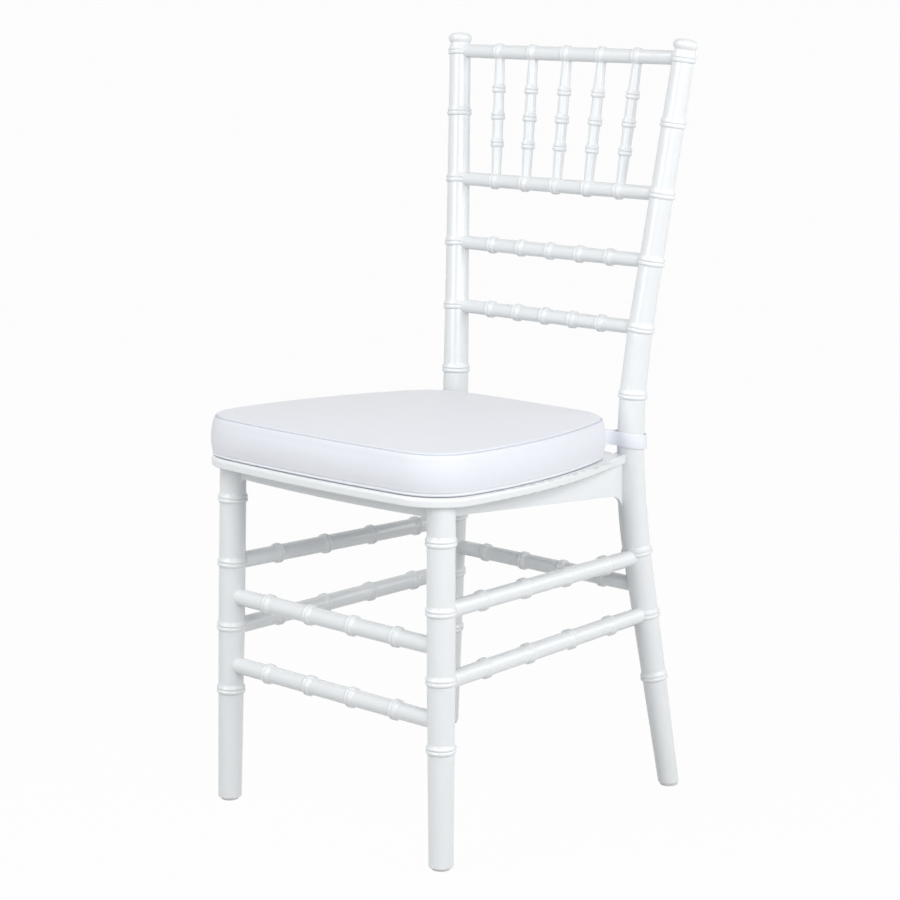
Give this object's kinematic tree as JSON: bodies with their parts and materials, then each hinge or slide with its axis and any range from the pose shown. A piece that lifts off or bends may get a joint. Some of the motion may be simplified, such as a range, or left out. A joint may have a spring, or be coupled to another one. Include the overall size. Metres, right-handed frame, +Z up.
{
  "type": "chiavari chair",
  "caption": "Dining chair with turned bamboo-ringed legs and posts, a spindled ladder back, a moulded seat panel and a strapped-on padded cushion.",
  "frame": {"origin": "on the floor, under the middle of the chair's bounding box", "axes": "+Z up, the chair faces -Y, +X to the right as seen from the front"},
  "size_m": [0.4068, 0.4748, 0.9165],
  "materials": {
    "resin": "glossy moulded white resin",
    "cushion_cloth": "white satin-smooth coated cloth",
    "cushion_filling": "cream upholstery foam",
    "strap_webbing": "white hook-and-loop webbing",
    "glide_nylon": "white nylon",
    "screw_steel": "zinc-plated steel"
  },
  "bodies": {
    "chair": {"front_leg_left": "resin", "front_leg_right": "resin", "back_post_left": "resin", "back_post_right": "resin", "top_rail": "resin", "spindle_rail": "resin", "middle_back_rail": "resin", "lower_back_rail": "resin", "spindle_1": "resin", "spindle_2": "resin", "spindle_3": "resin", "spindle_4": "resin", "spindle_5": "resin", "front_stretcher_upper": "resin", "front_stretcher_lower": "resin", "side_stretcher_upper_left": "resin", "side_stretcher_lower_left": "resin", "side_stretcher_upper_right": "resin", "side_stretcher_lower_right": "resin", "back_stretcher": "resin", "seat_panel": "resin", "seat_screws": "screw_steel", "front_glide_left": "glide_nylon", "front_glide_right": "glide_nylon", "back_glide_left": "glide_nylon", "back_glide_right": "glide_nylon"},
    "cushion": {"cushion_cover": "cushion_cloth", "cushion_foam": "cushion_filling", "cushion_strap_left": "strap_webbing", "cushion_strap_right": "strap_webbing"}
  },
  "joints": [
    {"name": "cushion_lift", "type": "slide", "parent": "chair", "child": "cushion", "axis": [0, 0, 1], "range_m": [0, 0.15], "deforming": ["cushion_strap_left", "cushion_strap_right"]}
  ]
}
